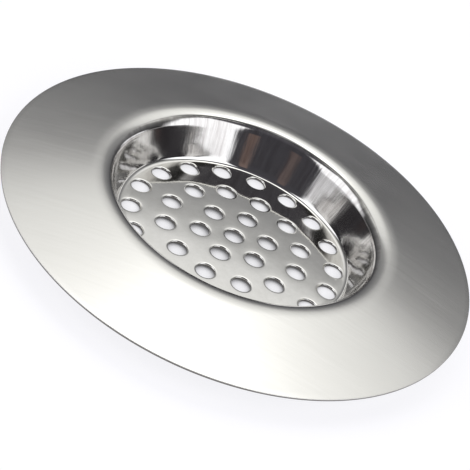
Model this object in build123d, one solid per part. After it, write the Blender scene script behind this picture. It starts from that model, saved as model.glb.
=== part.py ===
from build123d import *
import math
import os

# Sink strainer in stainless steel: a dished flange ring, and a drawn cup with a pierced floor
# whose out-turned lip is spot welded under the ring's inner margin.
# Millimetres, +Z up. The origin is the centre of the flat underside that the strainer stands on,
# and slopes are in degrees: above zero where a sheet falls towards the axis, below where it rises.

# Flange ring
outer_diameter = 75.0
flange_sheet = 0.4
cone_slope = 12.8
throat_diameter = 43.3
roll_entry_radius = 6.4
roll_radius = 3.2
roll_end_slope = 30.0

# Cup
cup_sheet = 0.4
rim_lift = 3.88
shoulder_radius = 2.6
wall_slope = 67.0
foot_radius = 0.8
floor_margin = 0.8
crown_blend = 4.0
floor_crown = 0.55
crown_flat_diameter = 4.4

# Lap joint between the two
seam_gap = 0.02
lip_width = 4.2
weld_count = 6
weld_diameter = 2.6
weld_dent = 0.06

# Holes in the floor, on rings about one in the middle
hole_diameter = 3.0
hole_pitch = 5.48
hole_ring_count = 3
holes_per_ring_step = 6
hole_rim_width = 0.33
hole_rim_drop = 0.18
pattern_turn = 21.0

# How far a cutting tool runs past what it cuts
overrun = 1.0


def up(slope):
    """Unit vector square to a sheet's top face, out of the sheet."""
    angle = math.radians(slope)
    return Vector(-math.sin(angle), 0, math.cos(angle))


def inward(slope):
    """Unit vector along a sheet's top face, towards the axis."""
    angle = math.radians(slope)
    return Vector(-math.cos(angle), 0, -math.sin(angle))


class SheetSection:
    """Section of a pressed sheet, followed along its top face from the outer cut edge inwards."""

    def __init__(self, point, slope, thickness):
        self.point = point
        self.slope = slope
        self.thickness = thickness
        self.top = []
        self.under = []
        self.outer_cut = Line(point, self.below(point, slope))

    def below(self, point, slope):
        return point - up(slope) * self.thickness

    def run(self, length):
        """A straight stretch of the section."""
        end = self.point + inward(self.slope) * length
        self.top.append(Line(self.point, end))
        self.under.append(Line(self.below(self.point, self.slope), self.below(end, self.slope)))
        self.point = end

    def bend(self, radius, end_slope):
        """A bend of the top face, convex where it ends steeper than it starts."""
        side = radius if end_slope > self.slope else -radius
        centre = self.point - up(self.slope) * side
        slopes = [self.slope, (self.slope + end_slope) / 2, end_slope]
        points = [centre + up(slope) * side for slope in slopes]
        self.top.append(ThreePointArc(*points))
        self.under.append(ThreePointArc(*[self.below(p, s) for p, s in zip(points, slopes)]))
        self.point = points[-1]
        self.slope = end_slope

    def revolved(self):
        """The pressing: the section turned about the axis."""
        inner_cut = Line(self.point, self.below(self.point, self.slope))
        edges = [self.outer_cut, *self.top, inner_cut, *self.under]
        return revolve(make_face(edges), Axis.Z)


# The roll at the throat rises off the cone in a wide bend up to its crest, then falls in a tight one
throat_radius = throat_diameter / 2
crest_radius = throat_radius - roll_radius * up(roll_end_slope).X
roll_start_radius = crest_radius + roll_entry_radius * up(-cone_slope).X
cone_length = (outer_diameter / 2 - roll_start_radius) / math.cos(math.radians(cone_slope))
rim_edge = Vector(outer_diameter / 2, 0, cup_sheet + rim_lift)
roll_start = rim_edge + inward(-cone_slope) * cone_length


def flange_ring():
    """Ring of sheet: a shallow cone up from the rim, rolled over at the throat."""
    section = SheetSection(rim_edge, -cone_slope, flange_sheet)
    section.run(cone_length)
    section.bend(roll_entry_radius, 0)
    section.bend(roll_radius, roll_end_slope)
    return section.revolved()


# The cup's lip lies one seam gap under the ring and follows its roll
lip_depth = flange_sheet + seam_gap
lip_bend_start = roll_start - up(-cone_slope) * lip_depth
lip_end = lip_bend_start - inward(-cone_slope) * lip_width
floor_top = cup_sheet
crown_flat_radius = crown_flat_diameter / 2


def cup_section():
    """Section of the cup, and the radius of the section's arc over the crown of its floor."""
    section = SheetSection(lip_end, -cone_slope, cup_sheet)
    section.run(lip_width)
    section.bend(roll_entry_radius - lip_depth, 0)
    section.bend(roll_radius - lip_depth, roll_end_slope)
    section.bend(shoulder_radius, wall_slope)
    foot_drop = foot_radius * (1 - up(wall_slope).Z)
    wall_length = (section.point.Z - foot_drop - floor_top) / -inward(wall_slope).Z
    section.run(wall_length)
    section.bend(foot_radius, 0)
    section.run(floor_margin)
    crown_slope = math.degrees(2 * math.atan(floor_crown / (section.point.X - crown_flat_radius)))
    section.bend(crown_blend, -crown_slope)
    crown_radius = (section.point.X - crown_flat_radius) / up(-crown_slope).X
    section.bend(crown_radius, 0)
    section.run(section.point.X)
    return section, crown_radius


def punch():
    """What a punch takes out of the floor: a round hole whose top rim it has drawn down to a bevel."""
    radius = hole_diameter / 2
    reach = cup_sheet + floor_crown + overrun
    outline = Polyline(
        Vector(0, 0, -reach),
        Vector(radius, 0, -reach),
        Vector(radius, 0, -hole_rim_drop),
        Vector(radius + 2 * hole_rim_width, 0, hole_rim_drop),
        Vector(0, 0, hole_rim_drop),
        close=True,
    )
    return revolve(make_face(outline), Axis.Z)


def hole_places(crown_top, crown_radius):
    """Places of the holes on the crowned floor, each square to it."""
    places = [Location(Vector(0, 0, crown_top))]
    for ring in range(1, hole_ring_count + 1):
        count = holes_per_ring_step * ring
        step = 360 / count
        # The outer ring is turned by half a step, so that its holes lie between those inside it
        stagger = step / 2 if ring == hole_ring_count else 0
        tilt = math.degrees(math.asin((ring * hole_pitch - crown_flat_radius) / crown_radius))
        height = crown_top - crown_radius * (1 - math.cos(math.radians(tilt)))
        for number in range(count):
            turn = Rotation(0, 0, pattern_turn + stagger + number * step)
            seat = Location(Vector(ring * hole_pitch, 0, height), Vector(0, tilt, 0))
            places.append(turn * seat)
    return places


def weld_dents():
    """What the electrodes leave in the underside of the lip: shallow round dents."""
    lip_middle = lip_bend_start - inward(-cone_slope) * lip_width / 2
    dent_centre = lip_middle - up(-cone_slope) * (cup_sheet + overrun / 2 - weld_dent)
    electrode = Cylinder(weld_diameter / 2, overrun)
    seat = Location(dent_centre, Vector(0, cone_slope, 0))
    return [Rotation(0, 0, number * 360 / weld_count) * seat * electrode for number in range(weld_count)]


def perforated_cup():
    """Drawn cup: lip, shoulder, tapered wall and a slightly crowned floor with rings of holes."""
    section, crown_radius = cup_section()
    tool = punch()
    holes = [place * tool for place in hole_places(section.point.Z, crown_radius)]
    return section.revolved() - holes - weld_dents()


os.makedirs("parts", exist_ok=True)
for name, make in {"flange_ring": flange_ring, "perforated_cup": perforated_cup}.items():
    solid = make().solid()
    solid.label = name
    export_step(solid, f"parts/{name}.step")
    print(name, round(solid.volume, 1), solid.is_valid)
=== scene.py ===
import bpy
import math
from mathutils import Matrix, Vector
from mathutils.geometry import delaunay_2d_cdt


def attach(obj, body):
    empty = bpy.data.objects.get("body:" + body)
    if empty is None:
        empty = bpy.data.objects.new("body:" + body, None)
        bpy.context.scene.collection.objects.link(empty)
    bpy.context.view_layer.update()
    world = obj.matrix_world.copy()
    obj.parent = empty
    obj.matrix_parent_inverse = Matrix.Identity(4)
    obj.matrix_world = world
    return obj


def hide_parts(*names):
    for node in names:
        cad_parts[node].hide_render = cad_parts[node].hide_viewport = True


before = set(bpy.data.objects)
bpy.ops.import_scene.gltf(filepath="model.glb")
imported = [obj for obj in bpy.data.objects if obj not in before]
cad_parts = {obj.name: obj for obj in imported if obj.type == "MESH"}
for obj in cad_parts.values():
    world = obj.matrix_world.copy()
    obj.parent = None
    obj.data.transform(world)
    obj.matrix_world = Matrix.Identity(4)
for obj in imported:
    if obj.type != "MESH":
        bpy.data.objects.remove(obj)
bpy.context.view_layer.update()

# Sizes of the strainer in millimetres and degrees, as the CAD model has them
outer_diameter = 75.0
cone_slope = 12.8
throat_diameter = 43.3
roll_entry_radius = 6.4
roll_radius = 3.2
roll_end_slope = 30.0
sheet = 0.4
rim_lift = 3.88
wall_slope = 67.0
foot_radius = 0.8
floor_margin = 0.8
crown_blend = 4.0
floor_crown = 0.55
crown_flat_radius = 2.2
seam_gap = 0.02
lip_width = 4.2
hole_radius = 1.5
hole_pitch = 5.48
hole_ring_count = 3
holes_per_ring_step = 6
hole_rim_width = 0.33
hole_rim_drop = 0.18
pattern_turn = 21.0

# Seam and wall, where the sheets leave the CAD model to follow the photograph: the ring's inner edge is
# coined thin and its corners are burnished, so that the cup comes out from under it almost flush, the
# cup's shoulder is a little tighter, and its wall has sprung back to a slight barrel, steeper at its top
coined_edge = 0.05
edge_coining_slope = 8.0
burnished_round = 0.02
shoulder_radius = 2.1
wall_top_slope = 70.0

# What the tools left: rounded cut edges, a faint dish round each hole, and a burr under its edge
edge_round = 0.07
dish_depth = 0.02
dish_reach = 0.45
burr_height = 0.05
burr_width = 0.3

# How finely the pressings are drawn: columns round the axis and round a hole, the largest angle and arc of
# a part of a bend, the numbers of parts elsewhere, and the angle from which an edge is shaded sharp
columns = 360
hole_columns = 64
bend_step = 4.0
arc_step = 0.35
fewest_bend_parts = 2
cone_parts = 14
lip_parts = 3
round_parts = 5
rim_parts = 5
sharp_angle = 38

# Points of the floor: rings past each hole's rim, rings just inside the circle where the flat margin ends,
# and a grid of triangles between them, with the distances that they keep from the foot and from the rims
rings_past_rim = (0.1, 0.25, 0.45, 0.7)
rings_inside_margin = (0.1, 0.2, 0.35)
grid_step = 0.8
grid_row_share = 0.87
foot_clearance = 0.06
grid_foot_clearance = 0.3
grid_rim_clearance = 0.95
margin_rim_clearance = 0.02
hole_start_steps = 7

# How far from the foot the dishes have faded out, and the tolerances of the triangulation
foot_fade = 0.5
overlap_tolerance = 0.001
merge_tolerance = 1e-5
inside_tolerance = 1e-4

MM = 0.001


# Mesh of the two pressings

def up(slope):
    """Unit vector square to a sheet's top face; slopes above zero fall towards the axis."""
    angle = math.radians(slope)
    return Vector((-math.sin(angle), math.cos(angle)))


def inward(slope):
    """Unit vector along a sheet's top face, towards the axis."""
    angle = math.radians(slope)
    return Vector((-math.cos(angle), -math.sin(angle)))


class SheetSection:
    """Section of a pressed sheet, followed along its top face from the outer cut edge inwards."""

    def __init__(self, point, slope):
        self.slope = slope
        self.thickness = sheet
        self.top = [point]
        self.under = [point - up(slope) * sheet]
        self.slopes = [slope]

    def run(self, length, parts):
        start = self.top[-1]
        for part in range(1, parts + 1):
            self.step_to(start + inward(self.slope) * length * part / parts)

    def step_to(self, point):
        self.top.append(point)
        self.under.append(point - up(self.slope) * self.thickness)
        self.slopes.append(self.slope)

    def bend(self, radius, end_slope, end_thickness=sheet):
        side = radius if end_slope > self.slope else -radius
        centre = self.top[-1] - up(self.slope) * side
        start = self.slope
        start_thickness = self.thickness
        turn = abs(end_slope - start)
        arc = math.radians(turn) * radius
        parts = max(fewest_bend_parts, math.ceil(turn / bend_step), math.ceil(arc / arc_step))
        for part in range(1, parts + 1):
            self.slope = start + (end_slope - start) * part / parts
            self.thickness = start_thickness + (end_thickness - start_thickness) * part / parts
            self.step_to(centre + up(self.slope) * side)


def softened(outline, rounds):
    """The closed outline with the corners of its cut edges rounded over, each by its own distance."""
    points = []
    for number, point in enumerate(outline):
        if number not in rounds:
            points.append(point)
            continue
        before = outline[number - 1]
        after = outline[(number + 1) % len(outline)]
        start = point + (before - point).normalized() * rounds[number]
        end = point + (after - point).normalized() * rounds[number]
        for part in range(round_parts + 1):
            share = part / round_parts
            points.append(start.lerp(point, share).lerp(point.lerp(end, share), share))
    return points


def add_lathe(verts, faces, outline, closed):
    """Adds the outline turned about the axis, and returns its rings of vertex numbers."""
    rings = []
    for radius, height in outline:
        first = len(verts)
        for column in range(columns):
            angle = math.tau * column / columns
            verts.append((radius * math.cos(angle), radius * math.sin(angle), height))
        rings.append(range(first, first + columns))
    pairs = list(zip(rings, rings[1:]))
    if closed:
        pairs.append((rings[-1], rings[0]))
    for one, two in pairs:
        for column in range(columns):
            after = (column + 1) % columns
            faces.append((one[column], two[column], two[after], one[after]))
    return rings


def crown_height(radius):
    """Height of the floor's top face over its flat margin."""
    margin_end = floor_margin_radius - floor_margin
    slope = 2 * math.atan(floor_crown / (margin_end - crown_flat_radius))
    blend_end = margin_end - crown_blend * math.sin(slope)
    if radius >= margin_end:
        return 0.0
    if radius >= blend_end:
        return crown_blend - math.sqrt(crown_blend ** 2 - (margin_end - radius) ** 2)
    crown_radius = (blend_end - crown_flat_radius) / math.sin(slope)
    out = max(0.0, radius - crown_flat_radius)
    blend_rise = crown_blend * (1 - math.cos(slope))
    return blend_rise + math.sqrt(crown_radius ** 2 - out ** 2) - crown_radius * math.cos(slope)


def on_circle(radius, angle):
    return Vector((math.cos(angle), math.sin(angle))) * radius


def hole_centres():
    centres = [Vector((0.0, 0.0))]
    for ring in range(1, hole_ring_count + 1):
        count = holes_per_ring_step * ring
        step = 360 / count
        # The outer ring is turned by half a step, so that its holes lie between those inside it
        stagger = step / 2 if ring == hole_ring_count else 0
        for number in range(count):
            angle = math.radians(pattern_turn + stagger + number * step)
            centres.append(on_circle(ring * hole_pitch, angle))
    return centres


def rim_steps():
    """Distance from the hole's edge and drop below the floor, from the punched edge out over its roll."""
    steps = []
    for part in range(rim_parts + 1):
        angle = math.radians(90 * part / rim_parts)
        steps.append((hole_rim_width * (1 - math.cos(angle)), hole_rim_drop * (1 - math.sin(angle))))
    return steps


def dish(distance):
    """How far the punch has drawn the sheet down around a hole, by the distance from its edge."""
    return dish_depth * math.exp(-distance / dish_reach)


def burr(distance):
    """How far the sheet's underside is drawn out below a hole, by the distance from its edge."""
    return burr_height * max(0.0, 1 - distance / burr_width) ** 2


def floor_plan(centres):
    """Points of the floor, each as its place, the drop of its top face and the burr below it, with the
    edges that the triangles have to keep, and the numbers of the points on each hole's edge."""
    points = [(on_circle(floor_margin_radius, math.tau * column / columns), 0.0, 0.0)
              for column in range(columns)]
    edges = [(column, (column + 1) % columns) for column in range(columns)]
    hole_rings = []
    levels = rim_steps() + [(hole_rim_width + more, 0.0) for more in rings_past_rim]
    for number, centre in enumerate(centres):
        # Each hole's columns start further round than the last hole's, so that neighbours don't line up
        turn = math.tau * number / hole_start_steps
        for level, (out, drop) in enumerate(levels):
            first = len(points)
            for column in range(hole_columns):
                place = centre + on_circle(hole_radius + out, turn + math.tau * column / hole_columns)
                if place.length > floor_margin_radius - foot_clearance:
                    continue
                if any((place - other).length < hole_radius + out - overlap_tolerance
                       for other in centres if other != centre):
                    continue
                points.append((place, drop + dish(out), burr(out)))
            if level == 0:
                hole_rings.append(range(first, first + hole_columns))
                edges += [(first + c, first + (c + 1) % hole_columns) for c in range(hole_columns)]
    # Between the holes, a loose hexagonal grid carries the crown, and rings its blend into the margin
    between = []
    rows = math.ceil(floor_margin_radius / (grid_step * grid_row_share))
    for row in range(-rows, rows + 1):
        for column in range(-rows, rows + 1):
            place = Vector((column + 0.5 * (row % 2), row * grid_row_share)) * grid_step
            if place.length <= floor_margin_radius - grid_foot_clearance:
                between.append((place, grid_rim_clearance))
    for inside in rings_inside_margin:
        radius = floor_margin_radius - floor_margin - inside
        for column in range(columns // 2):
            angle = math.tau * (column + 0.5) / (columns // 2)
            between.append((on_circle(radius, angle), margin_rim_clearance))
    for place, clearance in between:
        nearest = min((place - centre).length for centre in centres) - hole_radius
        if nearest > hole_rim_width + clearance:
            points.append((place, dish(nearest), 0.0))
    return points, edges, hole_rings


def add_floor(verts, faces, top_ring, under_ring):
    """Adds the pierced floor inside two rings of vertices at the foot of the wall, and returns the numbers
    of the faces down the holes."""
    centres = hole_centres()
    points, edges, hole_rings = floor_plan(centres)
    plan = [place for place, _, _ in points]
    placed, _, triangles, origins, _, _ = delaunay_2d_cdt(plan, edges, [], 0, merge_tolerance)
    # Points that fell together in the triangulation keep the lowest number that made them
    source = [min(group) if group else None for group in origins]
    top, under = [], []
    for place, number in zip(placed, source):
        if number is not None and number < columns:
            top.append(top_ring[number])
            under.append(under_ring[number])
            continue
        drop, lip = points[number][1:] if number is not None else (0.0, 0.0)
        height = sheet + crown_height(place.length)
        fade = min(1.0, max(0.0, (floor_margin_radius - place.length) / foot_fade))
        top.append(len(verts))
        verts.append((place.x, place.y, height - drop * fade))
        under.append(len(verts))
        verts.append((place.x, place.y, max(0.0, height - sheet - lip)))
    # A triangle whose middle lies in a hole is left out
    hole_reach = hole_radius * math.cos(math.pi / hole_columns) - inside_tolerance
    for triangle in triangles:
        middle = sum((placed[corner] for corner in triangle), Vector((0.0, 0.0))) / len(triangle)
        if min((middle - centre).length for centre in centres) < hole_reach:
            continue
        faces.append(tuple(top[corner] for corner in triangle))
        faces.append(tuple(under[corner] for corner in reversed(triangle)))
    back = {number: index for index, number in enumerate(source) if number is not None}
    walls = []
    for ring in hole_rings:
        for column in range(hole_columns):
            one = back[ring[column]]
            two = back[ring[(column + 1) % hole_columns]]
            walls.append(len(faces))
            faces.append((top[two], top[one], under[one], under[two]))
    return walls


def piece(name, verts, faces, cut_faces, materials):
    """A shaded object from millimetre vertices; the cut faces take the second material."""
    mesh = bpy.data.meshes.new(name)
    mesh.from_pydata([tuple(c * MM for c in vert) for vert in verts], [], faces)
    for material in materials:
        mesh.materials.append(material)
    cut = set(cut_faces)
    for face in mesh.polygons:
        face.use_smooth = True
        if face.index in cut:
            face.material_index = 1
    mesh.validate()
    mesh.update()
    mesh.set_sharp_from_angle(angle=math.radians(sharp_angle))
    obj = bpy.data.objects.new(name, mesh)
    bpy.context.scene.collection.objects.link(obj)
    return obj


# Where the roll at the throat lies: both sheets bend about its centre
crest_radius = throat_diameter / 2 - roll_radius * up(roll_end_slope).x
roll_start_radius = crest_radius + roll_entry_radius * up(-cone_slope).x
cone_length = (outer_diameter / 2 - roll_start_radius) / math.cos(math.radians(cone_slope))
rim_edge = Vector((outer_diameter / 2, sheet + rim_lift))
roll_start = rim_edge + inward(-cone_slope) * cone_length
lip_start = roll_start - up(-cone_slope) * (sheet + seam_gap)


def flange_sections():
    """The ring's section: cone, rise to the crest of the roll, and fall to the coined edge."""
    section = SheetSection(rim_edge, -cone_slope)
    section.run(cone_length, cone_parts)
    section.bend(roll_entry_radius, 0)
    section.bend(roll_radius, edge_coining_slope)
    section.bend(roll_radius, roll_end_slope, coined_edge)
    return section


def cup_sections():
    """The cup's section: lip, which stays one seam gap below the ring up to its coined edge, shoulder,
    barrelled wall and foot."""
    section = SheetSection(lip_start - inward(-cone_slope) * lip_width, -cone_slope)
    section.run(lip_width, lip_parts)
    section.bend(roll_entry_radius - sheet - seam_gap, 0)
    section.bend(roll_radius - sheet - seam_gap, edge_coining_slope)
    ring = flange_sections()
    for point, slope in zip(ring.under, ring.slopes):
        if slope > edge_coining_slope:
            section.slope = slope
            section.step_to(point - up(slope) * seam_gap)
    section.bend(shoulder_radius, wall_top_slope)
    foot_drop = foot_radius * (1 - up(wall_slope).y)
    wall_drop = section.top[-1].y - foot_drop - sheet
    section.bend(wall_drop / (up(wall_slope).y - up(wall_top_slope).y), wall_slope)
    section.bend(foot_radius, 0)
    return section


def flange_ring(materials):
    section = flange_sections()
    top, under = section.top, section.under
    outline = top + under[::-1]
    inner = len(top) - 1
    rounds = {0: edge_round, inner: burnished_round, inner + 1: burnished_round,
              len(outline) - 1: edge_round}
    rounded = softened(outline, rounds)
    verts, faces = [], []
    add_lathe(verts, faces, rounded, True)
    # The outer edge is sheared: its face closes the outline, between the last rounded corner and the first
    closing = len(rounded) - 1
    cut_faces = [closing * columns + column for column in range(columns)]
    return piece("flange_ring_pressing", verts, faces, cut_faces, materials)


def perforated_cup(materials):
    section = cup_sections()
    verts, faces = [], []
    outline = section.top[::-1] + section.under
    rounds = {len(section.top) - 1: edge_round, len(section.top): edge_round}
    rings = add_lathe(verts, faces, softened(outline, rounds), False)
    walls = add_floor(verts, faces, rings[0], rings[-1])
    return piece("perforated_cup_pressing", verts, faces, walls, materials)


floor_margin_radius = cup_sections().top[-1].x


# Materials

def linear(code):
    """Blender's linear colour for an sRGB hex code."""
    channels = [int(code[place:place + 2], 16) / 255 for place in (1, 3, 5)]
    return [c / 12.92 if c <= 0.04045 else ((c + 0.055) / 1.055) ** 2.4 for c in channels] + [1.0]


def add(tree, kind, inputs=None, **settings):
    """Adds a node with its settings; each input is a constant, or the output that it is linked from."""
    node = tree.nodes.new(kind)
    for name, value in settings.items():
        setattr(node, name, value)
    for name, value in (inputs or {}).items():
        if isinstance(value, bpy.types.NodeSocket):
            tree.links.new(value, node.inputs[name])
        else:
            node.inputs[name].default_value = value
    return node


def new_material(name):
    material = bpy.data.materials.new(name)
    material.use_nodes = True
    tree = material.node_tree
    tree.nodes.clear()
    return material, tree


def satin_stainless():
    """Stainless sheet, linished with a fine belt before it was pressed: broad soft reflections, and fine
    straight grain that hardly shows. A 240 grit belt leaves scratches about 0.05 mm apart, too fine to
    show, so the grain is drawn 0.25 mm apart and 12 mm long."""
    grain_spacing = 0.25 * MM
    grain_length = 12 * MM
    grain_depth = 0.0012 * MM
    grain_turn = math.radians(-50)
    pressure_patch = 7 * MM
    burnish_start = 22.9 * MM
    burnish_full = 21.9 * MM
    material, tree = new_material("satin_brushed_stainless")
    place = add(tree, "ShaderNodeTexCoord").outputs["Object"]
    grain_scale = (1 / grain_length, 1 / grain_spacing, 1 / grain_length)
    along = add(tree, "ShaderNodeMapping", {"Vector": place, "Rotation": (0, 0, grain_turn),
                                            "Scale": grain_scale})
    scratches = add(tree, "ShaderNodeTexNoise", {"Vector": along.outputs[0], "Scale": 1.0, "Detail": 3.0,
                                                 "Roughness": 0.6}).outputs["Fac"]
    # Belt pressure varies over a few millimetres, and blurs the reflections a little more or less
    pressure = add(tree, "ShaderNodeTexNoise", {"Vector": place, "Scale": 1 / pressure_patch,
                                                "Detail": 2.0}).outputs["Fac"]
    wear = add(tree, "ShaderNodeMath", {0: scratches, 1: pressure}, operation="ADD")
    roughness = add(tree, "ShaderNodeMapRange", {"Value": wear.outputs[0], "From Min": 0.6, "From Max": 1.4,
                                                 "To Min": 0.19, "To Max": 0.26})
    # Coining has burnished about the last millimetre before the throat, and sharpens its reflections
    split = add(tree, "ShaderNodeSeparateXYZ", {0: place})
    flat = add(tree, "ShaderNodeCombineXYZ", {"X": split.outputs["X"], "Y": split.outputs["Y"], "Z": 0.0})
    radius = add(tree, "ShaderNodeVectorMath", {0: flat.outputs[0]}, operation="LENGTH").outputs["Value"]
    burnish = add(tree, "ShaderNodeMapRange", {"Value": radius, "From Min": burnish_full,
                                               "From Max": burnish_start, "To Min": 0.2, "To Max": 1.0})
    roughness = add(tree, "ShaderNodeMath", {0: roughness.outputs[0], 1: burnish.outputs[0]},
                    operation="MULTIPLY")
    tone = add(tree, "ShaderNodeMix", {"Factor": scratches, 6: linear("#C3C2BE"), 7: linear("#CDCCC9")},
               data_type="RGBA")
    relief = add(tree, "ShaderNodeBump", {"Height": scratches, "Strength": 1.0, "Distance": grain_depth})
    shader = add(tree, "ShaderNodeBsdfPrincipled", {"Base Color": tone.outputs[2], "Metallic": 1.0,
                                                    "Roughness": roughness.outputs[0],
                                                    "Normal": relief.outputs[0]})
    add(tree, "ShaderNodeOutputMaterial", {"Surface": shader.outputs[0]})
    return material


def polished_stainless():
    """Stainless sheet, deep drawn with a bright finish: almost a mirror. Draw marks run down the wall,
    where the sheet slid over the die, with a faint orange peel from the stretched grain, and the floor,
    which only bent, keeps cleaner reflections. Real draw marks are 0.05 to 0.2 mm wide, too fine to show,
    and here they are 0.4 mm."""
    wall_radius = 20 * MM
    mark_width = 0.4 * MM
    mark_length = 5 * MM
    mark_depth = 0.008 * MM
    peel_grain = 1.1 * MM
    peel_depth = 0.004 * MM
    ripple_length = 4.5 * MM
    ripple_depth = 0.06 * MM
    shade_streak_width = 1.0 * MM
    wall_start = 1.0 * MM
    wall_full = 1.6 * MM
    material, tree = new_material("bright_drawn_stainless")
    place = add(tree, "ShaderNodeTexCoord").outputs["Object"]
    split = add(tree, "ShaderNodeSeparateXYZ", {0: place})
    # Round the axis the coordinate is the direction on a circle, so the marks have no seam
    flat = add(tree, "ShaderNodeCombineXYZ", {"X": split.outputs["X"], "Y": split.outputs["Y"], "Z": 0.0})
    direction = add(tree, "ShaderNodeVectorMath", {0: flat.outputs[0]}, operation="NORMALIZE")
    circle = add(tree, "ShaderNodeVectorMath", {0: direction.outputs[0], "Scale": wall_radius / mark_width},
                 operation="SCALE")
    down = add(tree, "ShaderNodeMath", {0: split.outputs["Z"], 1: 1 / mark_length}, operation="MULTIPLY")
    lift = add(tree, "ShaderNodeCombineXYZ", {"X": 0.0, "Y": 0.0, "Z": down.outputs[0]})
    marks_place = add(tree, "ShaderNodeVectorMath", {0: circle.outputs[0], 1: lift.outputs[0]},
                      operation="ADD")
    marks = add(tree, "ShaderNodeTexNoise", {"Vector": marks_place.outputs[0], "Scale": 1.0, "Detail": 2.5,
                                             "Roughness": 0.6}).outputs["Fac"]
    peel = add(tree, "ShaderNodeTexNoise", {"Vector": place, "Scale": 1 / peel_grain, "Detail": 3.0,
                                            "Roughness": 0.55}).outputs["Fac"]
    ripple = add(tree, "ShaderNodeTexNoise", {"Vector": place, "Scale": 1 / ripple_length,
                                              "Detail": 1.0}).outputs["Fac"]
    # The wall starts where the sheet turns up out of the floor
    drawn = add(tree, "ShaderNodeMapRange", {"Value": split.outputs["Z"], "From Min": wall_start,
                                             "From Max": wall_full}).outputs[0]
    grain = add(tree, "ShaderNodeBump", {"Height": peel, "Strength": 0.25, "Distance": peel_depth})
    waves = add(tree, "ShaderNodeBump", {"Height": ripple, "Strength": drawn, "Distance": ripple_depth,
                                         "Normal": grain.outputs[0]})
    relief = add(tree, "ShaderNodeBump", {"Height": marks, "Strength": drawn, "Distance": mark_depth,
                                          "Normal": waves.outputs[0]})
    blur = add(tree, "ShaderNodeMath", {0: marks, 1: drawn}, operation="MULTIPLY")
    roughness = add(tree, "ShaderNodeMapRange", {"Value": blur.outputs[0], "From Min": 0.0, "From Max": 0.7,
                                                 "To Min": 0.06, "To Max": 0.11})
    tone = add(tree, "ShaderNodeMix", {"Factor": peel, 6: linear("#C6C5C1"), 7: linear("#D5D4D1")},
               data_type="RGBA")
    # Painted shade: grey streaks a millimetre wide darken the wall's colour down it, as dark reflections do
    shade_streaks = add(tree, "ShaderNodeTexNoise", {"Vector": marks_place.outputs[0],
                                             "Scale": mark_width / shade_streak_width, "Detail": 4.0,
                                             "Roughness": 0.7}).outputs["Fac"]
    shade_streaks = add(tree, "ShaderNodeMapRange", {"Value": shade_streaks, "From Min": 0.42, "From Max": 0.70,
                                             "To Min": 0.25, "To Max": 0.9})
    shade_streaks = add(tree, "ShaderNodeMath", {0: shade_streaks.outputs[0], 1: drawn}, operation="MULTIPLY")
    # Painted shade: the streaks mix the wall's tone towards a darker grey
    tone = add(tree, "ShaderNodeMix", {"Factor": shade_streaks.outputs[0], 6: tone.outputs[2],
                                       7: linear("#A19D9A")}, data_type="RGBA")
    shader = add(tree, "ShaderNodeBsdfPrincipled", {"Base Color": tone.outputs[2], "Metallic": 1.0,
                                                    "Roughness": roughness.outputs[0],
                                                    "Normal": relief.outputs[0]})
    add(tree, "ShaderNodeOutputMaterial", {"Surface": shader.outputs[0]})
    return material


def cut_stainless_painted_shade():
    """Punched and sheared edge of the stainless sheet: torn, so it is matt and somewhat darker than the
    faces, and darker still with painted shade, for the shade down the narrow holes. The tear's grains
    are about 0.1 mm."""
    tear_grain = 0.1 * MM
    tear_depth = 0.01 * MM
    material, tree = new_material("sheared_stainless_painted_shade")
    place = add(tree, "ShaderNodeTexCoord").outputs["Object"]
    tear = add(tree, "ShaderNodeTexNoise", {"Vector": place, "Scale": 1 / tear_grain,
                                            "Detail": 2.0}).outputs["Fac"]
    roughness = add(tree, "ShaderNodeMapRange", {"Value": tear, "From Min": 0.3, "From Max": 0.7,
                                                 "To Min": 0.32, "To Max": 0.55})
    # Painted shade: this tone is darker than sheared steel is, for the shade deep in the narrow holes
    tone = add(tree, "ShaderNodeMix", {"Factor": tear, 6: linear("#5E5B59"), 7: linear("#85827F")},
               data_type="RGBA")
    relief = add(tree, "ShaderNodeBump", {"Height": tear, "Strength": 0.6, "Distance": tear_depth})
    shader = add(tree, "ShaderNodeBsdfPrincipled", {"Base Color": tone.outputs[2], "Metallic": 1.0,
                                                    "Roughness": roughness.outputs[0],
                                                    "Normal": relief.outputs[0]})
    add(tree, "ShaderNodeOutputMaterial", {"Surface": shader.outputs[0]})
    return material


# The two pressings stand for the CAD nodes

sheared_shaded = cut_stainless_painted_shade()
flange = flange_ring([satin_stainless(), sheared_shaded])
cup = perforated_cup([polished_stainless(), sheared_shaded])
for made, node, slot in ((flange, "flange_ring", "satin_steel"), (cup, "perforated_cup", "polished_steel")):
    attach(made, "root")
    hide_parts(node)


# Stage: pale table, and a studio that the metal mirrors

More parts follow.
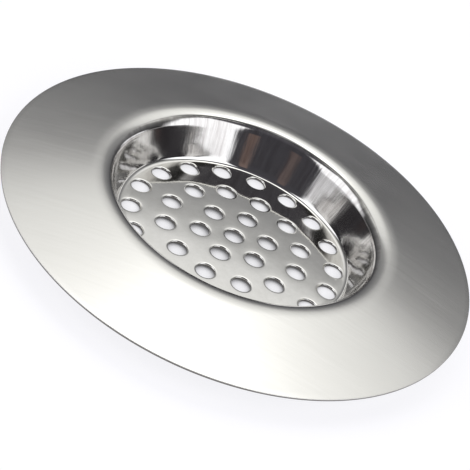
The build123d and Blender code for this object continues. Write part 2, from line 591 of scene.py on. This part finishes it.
def table():
    """Matt white paper. What the camera and the metal see of it is mostly a white glow, even where the
    paper is open, and darkened with painted shade in the narrow gap under the sheet."""
    gap_reach = 3 * MM
    own_white = 0.82
    reach = 1.5
    material, tree = new_material("white_paper")
    rays = add(tree, "ShaderNodeLightPath")
    seen = add(tree, "ShaderNodeMath", {0: rays.outputs["Is Camera Ray"], 1: rays.outputs["Is Glossy Ray"]},
               operation="MAXIMUM")
    seen = add(tree, "ShaderNodeMath", {0: seen.outputs[0], 1: rays.outputs["Is Transmission Ray"]},
               operation="MAXIMUM")
    # Painted shade: ambient occlusion dims the glow in the narrow gap under the sheet, where a glow casts
    # no shadow
    painted_gap_shade = add(tree, "ShaderNodeAmbientOcclusion", {"Distance": gap_reach}, samples=8).outputs["AO"]
    glow = add(tree, "ShaderNodeMath", {0: seen.outputs[0], 1: painted_gap_shade}, operation="MULTIPLY")
    glow = add(tree, "ShaderNodeMath", {0: glow.outputs[0], 1: own_white}, operation="MULTIPLY")
    paint = add(tree, "ShaderNodeBsdfDiffuse", {"Color": linear("#8C8B8A")})
    light = add(tree, "ShaderNodeEmission", {"Color": linear("#FBFBFF"), "Strength": glow.outputs[0]})
    both = add(tree, "ShaderNodeAddShader", {0: paint.outputs[0], 1: light.outputs[0]})
    add(tree, "ShaderNodeOutputMaterial", {"Surface": both.outputs[0]})
    mesh = bpy.data.meshes.new("table")
    corners = [(-reach, -reach, 0), (reach, -reach, 0), (reach, reach, 0), (-reach, reach, 0)]
    mesh.from_pydata(corners, [], [(0, 1, 2, 3)])
    mesh.materials.append(material)
    obj = bpy.data.objects.new("table", mesh)
    bpy.context.scene.collection.objects.link(obj)


def studio():
    """World: white to the camera. The metal mirrors a dim room with one large soft light behind the
    strainer, and a soft light on each side of the dark place where the camera stands."""
    lamp_strength = 2.1
    world = bpy.data.worlds.new("studio")
    bpy.context.scene.world = world
    world.use_nodes = True
    tree = world.node_tree
    tree.nodes.clear()
    place = add(tree, "ShaderNodeTexCoord")
    split = add(tree, "ShaderNodeSeparateXYZ", {0: place.outputs["Generated"]})
    height = split.outputs["Z"]
    near = add(tree, "ShaderNodeMath", {0: split.outputs["Y"], 1: -1.0}, operation="MULTIPLY")
    azimuth = add(tree, "ShaderNodeMath", {0: split.outputs["X"], 1: near.outputs[0]},
                  operation="ARCTAN2").outputs[0]
    aside = add(tree, "ShaderNodeMath", {0: azimuth}, operation="ABSOLUTE").outputs[0]

    # Back light: its level by the sine of the elevation
    back = add(tree, "ShaderNodeValToRGB", {0: height})
    stops = ((0.0, "#363639"), (0.12, "#48484B"), (0.20, "#5B5B5D"), (0.35, "#717173"), (0.51, "#878788"),
             (0.575, "#A0A0A0"), (0.63, "#CFCFCF"), (0.70, "#DCDCDB"), (0.80, "#EDEDEC"), (0.88, "#FFFFFE"),
             (0.955, "#FFFFFE"), (0.985, "#727274"))
    ramp = back.color_ramp
    for number, (position, code) in enumerate(stops):
        # A new ramp has two stops, and the others are added
        stop = ramp.elements[number] if number < 2 else ramp.elements.new(position)
        stop.position = position
        stop.color = linear(code)

    # Steps round the strainer: what they follow, from and to in degrees from the camera's side, above zero
    # on its right and below on its left, and the levels before and after
    turns = {"spread": (aside, 104, 138, 0.42, 1.0),
             "gap_right": (azimuth, 118, 140, 0.02, 1.0),
             "gap_left": (azimuth, -114, -137, 0.05, 1.0),
             "right": (azimuth, 30, 36, 0.0, 1.0),
             "left": (azimuth, -39, -46, 0.0, 1.0),
             "behind": (aside, 88, 100, 0.0, 1.0),
             "front": (aside, 96, 88, 0.0, 1.0),
             "card_right_in": (azimuth, 13.5, 15.5, 0.0, 1.0),
             "card_right_out": (azimuth, 23.0, 21.0, 0.0, 1.0),
             "card_left_in": (azimuth, -13.5, -15.5, 0.0, 0.55),
             "card_left_out": (azimuth, -23.0, -21.0, 0.0, 1.0),
             "strip_in": (azimuth, 110, 118, 0.0, 1.0),
             "strip_out": (azimuth, 144, 136, 0.0, 1.0)}
    # Steps by height, as the sine of the elevation: from, to, and the levels before and after
    heights = {"gap_height": (0.70, 0.86, 0.0, 1.0),
               "bright": (0.85, 0.94, 1.7, 2.7),
               "left_level": (0.08, 0.26, 0.55, 1.0),
               "bottom": (0.0, 0.04, 0.0, 1.0),
               "top": (0.90, 0.84, 0.0, 1.0),
               "card_top": (0.45, 0.40, 0.0, 1.0),
               "strip_top": (0.17, 0.11, 0.0, 1.0)}
    steps = {name: (value, math.radians(start), math.radians(stop), low, high)
             for name, (value, start, stop, low, high) in turns.items()}
    steps.update({name: (height, *step) for name, step in heights.items()})
    level = {}
    for name, (value, start, stop, low, high) in steps.items():
        node = add(tree, "ShaderNodeMapRange", {"Value": value, "From Min": start, "From Max": stop,
                                                "To Min": low, "To Max": high},
                   interpolation_type="SMOOTHSTEP")
        level[name] = node.outputs[0]

    # The back light is dimmer to the sides, and high up it is narrower, which leaves a dark gap between it
    # and the side lights
    gap = add(tree, "ShaderNodeMath", {0: level["gap_right"], 1: level["gap_left"]}, operation="MAXIMUM")
    gap = add(tree, "ShaderNodeMix", {"Factor": level["gap_height"], 2: 1.0, 3: gap.outputs[0]})
    spread = add(tree, "ShaderNodeMath", {0: level["spread"], 1: gap.outputs[0]}, operation="MULTIPLY")
    back_light = add(tree, "ShaderNodeVectorMath", {0: back.outputs[0], "Scale": spread.outputs[0]},
                     operation="SCALE")

    # Side lights, from just above the table to about 60 degrees up: the one on the right comes nearer to
    # the camera, and the one on the left is weaker low down. Two dim brown cards stand between them, on
    # each side of the camera
    products = {}
    for name, one, two in (("left", "left", "left_level"), ("ends", "bottom", "top"),
                           ("card_right", "card_right_in", "card_right_out"),
                           ("card_left", "card_left_in", "card_left_out"),
                           ("strip", "strip_in", "strip_out")):
        product = add(tree, "ShaderNodeMath", {0: level[one], 1: level[two]}, operation="MULTIPLY")
        products[name] = product.outputs[0]
    side = add(tree, "ShaderNodeMath", {0: level["right"], 1: products["left"]}, operation="MAXIMUM")
    side = add(tree, "ShaderNodeMath", {0: side.outputs[0], 1: products["ends"]}, operation="MULTIPLY")
    cards = add(tree, "ShaderNodeMath", {0: products["card_right"], 1: products["card_left"]},
                operation="MAXIMUM")
    cards = add(tree, "ShaderNodeMath", {0: cards.outputs[0], 1: level["card_top"]}, operation="MULTIPLY")
    room = add(tree, "ShaderNodeMix", {"Factor": cards.outputs[0], 6: linear("#3D3C41"),
                                       7: linear("#6A5B57")}, data_type="RGBA")
    room = add(tree, "ShaderNodeMix", {"Factor": side.outputs[0], 6: room.outputs[2],
                                       7: linear("#F6F7FC")}, data_type="RGBA")

    # The back light's side of the room starts behind the side lights
    mixed = add(tree, "ShaderNodeMix", {"Factor": level["behind"], 6: room.outputs[2],
                                        7: back_light.outputs[0]}, data_type="RGBA")
    # A strip of bright paper stands low behind on the right
    strip = add(tree, "ShaderNodeMath", {0: products["strip"], 1: level["strip_top"]}, operation="MULTIPLY")
    mixed = add(tree, "ShaderNodeMix", {"Factor": strip.outputs[0], 6: mixed.outputs[2],
                                        7: linear("#F6F7FC")}, data_type="RGBA")
    # The side lights have a strength of their own, and the rest is stronger high up
    lamps = add(tree, "ShaderNodeMath", {0: side.outputs[0], 1: level["front"]}, operation="MULTIPLY")
    strength = add(tree, "ShaderNodeMix", {"Factor": lamps.outputs[0], 2: level["bright"],
                                           3: lamp_strength})
    seen_by_metal = add(tree, "ShaderNodeBackground", {"Color": mixed.outputs[2],
                                                       "Strength": strength.outputs[0]})
    white = add(tree, "ShaderNodeBackground", {"Color": linear("#FFFFFF"), "Strength": 1.0})
    rays = add(tree, "ShaderNodeLightPath")
    direct = add(tree, "ShaderNodeMath", {0: rays.outputs["Is Camera Ray"],
                                          1: rays.outputs["Is Transmission Ray"]}, operation="MAXIMUM")
    shown = add(tree, "ShaderNodeMixShader", {0: direct.outputs[0], 1: seen_by_metal.outputs[0],
                                              2: white.outputs[0]})
    add(tree, "ShaderNodeOutputWorld", {"Surface": shown.outputs[0]})


table()
studio()


# Camera at the photograph's place

def camera():
    """Looks from above the near side at the centre of the circle that the outer edge makes."""
    elevation = math.radians(34.72)
    roll = math.radians(24.50)
    distance = 0.27446
    forward = Vector((0.0, math.cos(elevation), -math.sin(elevation)))
    level_right = Vector((1.0, 0.0, 0.0))
    level_up = level_right.cross(forward)
    right = level_right * math.cos(roll) + level_up * math.sin(roll)
    upward = level_up * math.cos(roll) - level_right * math.sin(roll)
    target = Vector((0.0, 0.0, (sheet + rim_lift) * MM))
    data = bpy.data.cameras.new("camera")
    data.sensor_width = 36.0
    data.lens = 138.92
    data.shift_x = -0.0143
    data.shift_y = -0.0336
    data.clip_start = 0.01
    data.clip_end = 10.0
    obj = bpy.data.objects.new("camera", data)
    bpy.context.scene.collection.objects.link(obj)
    turn = Matrix((right, upward, -forward)).transposed().to_4x4()
    obj.matrix_world = Matrix.Translation(target - forward * distance) @ turn
    bpy.context.scene.camera = obj


camera()
bpy.context.scene.view_settings.view_transform = "Standard"
